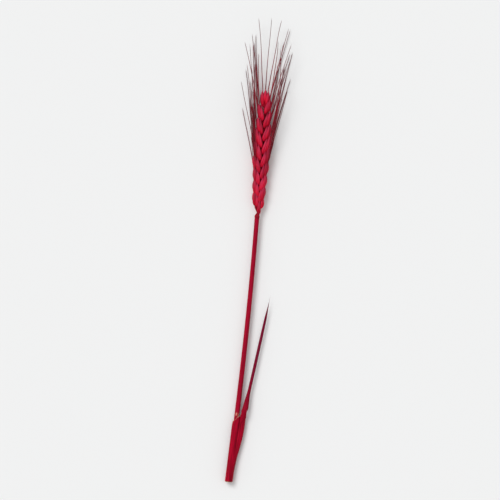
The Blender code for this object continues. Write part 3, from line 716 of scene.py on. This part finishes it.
GLUME = {"length": 0.0094, "width": 0.0024, "depth": 0.0014, "up": 0.0001, "out": 0.0018, "aside": -0.0003,
         "spread": 9, "face": 12}
LEMMA = {"length": 0.0112, "width": 0.0032, "depth": 0.0025, "up": 0.0012, "out": 0.0010, "aside": 0.0009,
         "spread": 6, "face": 36}
MIDDLE_LEMMA = {"length": 0.0098, "width": 0.0030, "depth": 0.0034, "up": 0.0030, "out": 0.0,
                "aside": 0.0008, "spread": 0, "face": 90}
LATE_FLORET = {"length": 0.0074, "width": 0.0028, "depth": 0.0022, "up": 0.0040, "out": 0.0004,
               "aside": -0.0004, "spread": 2, "face": 60}
PALEA = {"length": 0.0094, "width": 0.0024, "depth": 0.0012, "up": 0.0016, "out": 0.0002, "aside": 0.0004,
         "spread": 3, "face": 150}

# Its furrows are darkened by a painted shade.
chaff_finish = dyed(
    "dyed_chaff", relief=0.00005, specular=0.10, fibres=34, drawn_out=2.2, depth=0.72,
    deep=(0.08, 0.0002, 0.004, 1), full=(0.96, 0.005, 0.040, 1), dull=(0.52, 0.034, 0.088, 1),
    dull_from=0.15, dull_to=0.85,
)
# Its furrows are darkened by a painted shade.
lemma_finish = dyed(
    "dyed_lemma", relief=0.00005, specular=0.10, fibres=40, drawn_out=2.2, depth=0.74,
    deep=(0.06, 0.0002, 0.003, 1), full=(0.80, 0.004, 0.032, 1), dull=(0.42, 0.024, 0.064, 1),
    dull_from=0.20, dull_to=0.85,
)
glumes = scales(
    "glumes", scale_frames(GLUME, [1, -1], everyone), GLUME, stations=34, around=32, seed=41, keel=0.00034,
    nerves=5, nerve_height=0.00006, shell=0.00020, skew=0.10, beak=0.6, curl=0.0004,
)
finished(glumes, chaff_finish, "ear")
lemmas = scales(
    "lemmas", scale_frames(LEMMA, [1, -1], fertile), LEMMA, stations=36, around=32, seed=42, keel=0.00016,
    nerves=6, nerve_height=0.00005, beak=0.7,
)
finished(lemmas, lemma_finish, "ear")
middle_lemmas = scales(
    "middle_lemmas", scale_frames(MIDDLE_LEMMA, [1], everyone), MIDDLE_LEMMA, stations=32, around=32, seed=43,
    keel=0.00012, nerves=7, nerve_height=0.00003, beak=0.6,
)
finished(middle_lemmas, lemma_finish, "ear")
late_florets = scales(
    "late_florets", scale_frames(LATE_FLORET, [1, -1], fertile), LATE_FLORET, stations=24, around=24, seed=44,
    nerves=5, nerve_height=0.00003, beak=0.4, tone=(0, 0.6),
)
finished(late_florets, lemma_finish, "ear")
paleas = scales(
    "paleas", scale_frames(PALEA, [1, -1], fertile), PALEA, stations=22, around=24, seed=45, keel=0.0001,
    shell=0.00012, tone=(0, 0.5),
)
finished(paleas, lemma_finish, "ear")


# Awns.
# The long stiff bristle that a lemma runs out into, three to each spikelet but the lowest. It is rough with
# tiny forward barbs, thins to a hair and turns brown at the end, where the dye took least.

AWN_RADIUS, AWN_TIP_RADIUS, AWN_THINS = 0.00027, 0.00012, 0.8  # and the power of the share by which it thins
AWN_POINT, AWN_POINTED = 0.96, 0.85  # the share of its length from which it comes to its point, and how far
AWN_ROOT = 0.86  # where the awn's root sits along its lemma
AWN_HIDDEN, AWN_SWELLS = 0.02, 0.95  # the share of its length inside the lemma, and how much it swells there
AWN_CLEAR = 0.00045  # an awn's middle line stays this far above the table
AWN_WAVE, AWN_WAVES = 0.0005, 7  # how far it strays from its even curve, and in how many radians
AWN_STATIONS, AWN_AROUND = 150, 6
BARB_STEP, BARB = 3, 0.15  # stations from one barb to the next, and its height as a share of the radius
MIDDLE_AWN_SHORTER, MIDDLE_AWN_LENGTHS = 0.72, (0.8, 1.1)  # against the spikelet's outer ones
MIDDLE_AWN_SIDEWAYS, MIDDLE_AWN_UPWARDS = (4, 13), (-4, 5)
STRAIGHTER = 0.8  # by what share the uppermost of them lean less
LAST_AWN = (1, 3)  # the lean of the one on the very top


def awn_rings(frames, kind, lengths, leans, knees, seed):
    """Rings of awns that leave along their lemmas, then bend to their own directions.

    An awn's line is a quadratic curve from its root in the lemma's tip to its free end, bent towards a
    knee, with a slight wave that grows towards the end, kept above the table. It starts a little inside the
    lemma. The lean's two angles turn the free end from +Y towards +X and +Z. The ring turns along with the
    line, swells from next to nothing inside the lemma, then thins and comes to a point. Each of its points
    rises and drops back over its own barbs, every other point half a step later.
    """
    root, along, _, _, size = frames
    chance = np.random.default_rng(seed)
    lengths = np.asarray(lengths)[:, None]
    start = root + along * kind["length"] * size * AWN_ROOT
    sideways, upwards = np.tan(np.radians(np.asarray(leans, float).T))
    end = unit(np.stack([sideways, np.ones_like(sideways), upwards], axis=-1))
    knee = (start + along * lengths * np.asarray(knees)[:, None])[:, None]
    free = (start + end * lengths)[:, None]
    t = np.linspace(-AWN_HIDDEN, 1, AWN_STATIONS)[None, :, None]
    line = (1 - t) ** 2 * start[:, None] + 2 * t * (1 - t) * knee + t**2 * free
    wave = chance.uniform(-1, 1, (len(root), 1, 3)) * [1, 0, 1]
    phase = chance.uniform(0, 6, (len(root), 1, 1))
    line = lay(line + AWN_WAVE * wave * t**2 * np.sin(t * AWN_WAVES + phase))
    soft = AWN_CLEAR * 2
    low = line[..., 2] < soft
    line[..., 2][low] = AWN_CLEAR + AWN_CLEAR * np.exp((line[..., 2][low] - soft) / AWN_CLEAR)
    ahead = unit(np.gradient(line, axis=1))[:, :, None]
    across = unit(np.cross(ahead, [0.0, 0.0, 1.0]))
    over = np.cross(across, ahead)
    angle = (np.arange(AWN_AROUND) / AWN_AROUND * math.tau)[None, None, :, None]
    radius = AWN_RADIUS + (AWN_TIP_RADIUS - AWN_RADIUS) * np.clip(t, 0, 1) ** AWN_THINS
    radius = radius * (1 - AWN_POINTED * smooth_step(AWN_POINT, 1, t))
    radius = radius * (1 - AWN_SWELLS * smooth_step(AWN_HIDDEN, -AWN_HIDDEN, t))
    late = BARB_STEP / 2 * (np.arange(AWN_AROUND) % 2)
    barb = (np.arange(AWN_STATIONS)[:, None] + late) % BARB_STEP / BARB_STEP
    radius = radius * (1 + BARB * (barb - 0.5))
    return line[:, :, None] + radius[..., None] * (np.cos(angle) * across + np.sin(angle) * over)


outer_awns = awn_rings(
    scale_frames(LEMMA, [1, -1], fertile), LEMMA, np.repeat([spikelets[i]["awn"] for i in fertile], 2),
    [lean for i in fertile for lean in spikelets[i]["leans"]],
    [knee for i in fertile for knee in spikelets[i]["knees"]], seed=51,
)
draw = np.random.default_rng(52)
middle_leans = [
    (sides[i] * draw.uniform(*MIDDLE_AWN_SIDEWAYS) * (1 - STRAIGHTER * (i / SPIKELETS) ** 3),
     draw.uniform(*MIDDLE_AWN_UPWARDS))
    for i in fertile[:-1]
]
middle_lengths = [
    spikelets[i]["awn"] * MIDDLE_AWN_SHORTER * draw.uniform(*MIDDLE_AWN_LENGTHS) for i in fertile[:-1]
]
middle_knees = draw.uniform(*AWN_KNEE, len(middle_leans))
middle_awns = awn_rings(
    scale_frames(MIDDLE_LEMMA, [1], fertile), MIDDLE_LEMMA, [*middle_lengths, spikelets[-1]["awn"]],
    [*middle_leans, LAST_AWN], [*middle_knees, AWN_KNEE[0]], seed=53,
)
# Its furrows are darkened by a painted shade.
awn_finish = dyed(
    "dyed_awn", relief=0.00001, fibres=5, drawn_out=9, depth=0.5, deep=(0.08, 0.001, 0.006, 1),
    full=(0.28, 0.003, 0.018, 1), dull=(0.12, 0.020, 0.026, 1), dull_from=0.45, dull_to=1.2,
)
all_awns = np.concatenate([outer_awns, middle_awns])
awns = loft("awns", all_awns, tone=draw.uniform(0, 1, len(all_awns)))
finished(awns, awn_finish, "ear")


# Hairs.
# Short, stiff, pale hairs that fringe the rachis's two edges and stick out between the spikelets' bases.
# Each one is rooted just under the rachis's surface and leans up the stem.

HAIRS = 520
HAIRS_FROM = 0.0008  # above the straw's end
HAIR_LENGTH = (0.0004, 0.0011)
HAIR_RADIUS, HAIR_THINS = 0.000022, 0.85
HAIR_RINGS = (0.0, 0.5, 0.97)  # as shares of its length
HAIR_SPREAD = 0.5  # how far round from the edge they stand, in radians
HAIR_FORWARD = (0.8, 2.2)  # how far they lean up the stem, against outwards
HAIR_ROOT = 0.96  # how deep they are rooted, as a share of the rachis's radius

draw = np.random.default_rng(61)
hair_y = draw.uniform(STRAW_LENGTH + HAIRS_FROM, rachis_nodes[-1], HAIRS)
hair_side = draw.choice([-1, 1], HAIRS)
hair_angle = np.where(hair_side > 0, 0, math.pi) + draw.normal(0, HAIR_SPREAD, HAIRS)
hair_middle, hair_wide, hair_high = (
    np.interp(hair_y, rachis_y[:, 0], line[:, 0]) for line in (middle_x, rachis_r, rachis_r * flat)
)
hair_x = hair_middle + hair_wide * np.cos(hair_angle) * HAIR_ROOT
hair_root = np.stack([hair_x, hair_y, hair_high * np.sin(hair_angle) * HAIR_ROOT], axis=-1)
hair_lean = draw.uniform(*HAIR_FORWARD, HAIRS)
hair_way = unit(np.stack([np.cos(hair_angle), hair_lean, np.sin(hair_angle)], axis=-1))
hair_length = draw.uniform(*HAIR_LENGTH, HAIRS)[:, None, None]
s = np.array(HAIR_RINGS)[None, :, None]
hair_line = hair_root[:, None] + hair_way[:, None] * hair_length * s
ring_angle = (np.arange(3) / 3 * math.tau)[:, None]
side_way = unit(np.cross(hair_way, [0.0, 0.0, 1.0]))[:, None, None]
over_way = np.cross(side_way, hair_way[:, None, None])
hair_ring = np.cos(ring_angle) * side_way + np.sin(ring_angle) * over_way
hair_rings = hair_line[:, :, None] + HAIR_RADIUS * (1 - HAIR_THINS * s)[..., None] * hair_ring
# Its furrows are darkened by a painted shade.
hair_finish = dyed(
    "dyed_hair", relief=0.000005, fibres=3, drawn_out=2, depth=0.2, deep=(0.3, 0.02, 0.04, 1),
    full=(0.62, 0.10, 0.14, 1), dull=(0.62, 0.24, 0.24, 1), dull_from=0.2, dull_to=1.0,
)
hairs = loft("hairs", above_table(lay(hair_rings)), tone=draw.uniform(0, 1, HAIRS))
finished(hairs, hair_finish, "ear")


# Table, light and camera.
# A plain pale table, a broad soft light from the upper left and an even sky. The camera looks straight down
# through a long lens, rolled so that the stem leans to the right as it does in the photograph.

TABLE_SIZE = 3.0
TABLE_COLOUR, TABLE_ROUGH = (0.86, 0.865, 0.865, 1), 0.9
SUN_STRENGTH, SUN_WIDTH = 1.7, math.radians(30)
SUN_FROM = (-0.55, 0.50, 0.85)
SKY, SKY_IN_GLOSS = 0.62, 0.12  # a studio's dark flags keep the sky out of the gloss
CAMERA_HEIGHT = 2.0
METRES_PER_PIXEL = 0.000545
IMAGE_PIXELS = 500
STEM_LEAN = math.radians(5.4)
SENSOR = 36.0

half = TABLE_SIZE / 2
corners = [(-half, -half, 0), (half, -half, 0), (half, half, 0), (-half, half, 0)]
table_mesh = bpy.data.meshes.new("table")
table_mesh.from_pydata(corners, [], [(0, 1, 2, 3)])
table = bpy.data.objects.new("table", table_mesh)
bpy.context.scene.collection.objects.link(table)
table_finish = bpy.data.materials.new("pale_table")
table_finish.use_nodes = True
table_finish.node_tree.nodes["Principled BSDF"].inputs["Base Color"].default_value = TABLE_COLOUR
table_finish.node_tree.nodes["Principled BSDF"].inputs["Roughness"].default_value = TABLE_ROUGH
table_mesh.materials.append(table_finish)

sun = bpy.data.lights.new("soft_light", "SUN")
sun.energy = SUN_STRENGTH
sun.angle = SUN_WIDTH
sun_object = bpy.data.objects.new("soft_light", sun)
bpy.context.scene.collection.objects.link(sun_object)
sun_object.rotation_euler = Vector(SUN_FROM).to_track_quat("Z", "Y").to_euler()

sky = bpy.data.worlds.new("even_sky")
bpy.context.scene.world = sky
sky.use_nodes = True
glossy = put(sky.node_tree, "ShaderNodeLightPath").outputs["Is Glossy Ray"]
strength = put(sky.node_tree, "ShaderNodeMix", {0: glossy, 2: SKY, 3: SKY_IN_GLOSS})
sky.node_tree.nodes["Background"].inputs["Color"].default_value = (1, 1, 1, 1)
sky.node_tree.links.new(strength.outputs[0], sky.node_tree.nodes["Background"].inputs["Strength"])
bpy.context.scene.view_settings.view_transform = "Standard"

lens = bpy.data.cameras.new("camera")
lens.sensor_width = SENSOR
lens.lens = SENSOR * CAMERA_HEIGHT / (IMAGE_PIXELS * METRES_PER_PIXEL)
camera = bpy.data.objects.new("camera", lens)
bpy.context.scene.collection.objects.link(camera)
up = Vector((-math.sin(STEM_LEAN), math.cos(STEM_LEAN), 0))
back = Vector((0, 0, 1))
middle = (cad_low + cad_high) / 2
turned_view = Matrix((up.cross(back), up, back)).transposed().to_4x4()
camera.matrix_world = Matrix.Translation((middle.x, middle.y, CAMERA_HEIGHT)) @ turned_view
bpy.context.scene.camera = camera
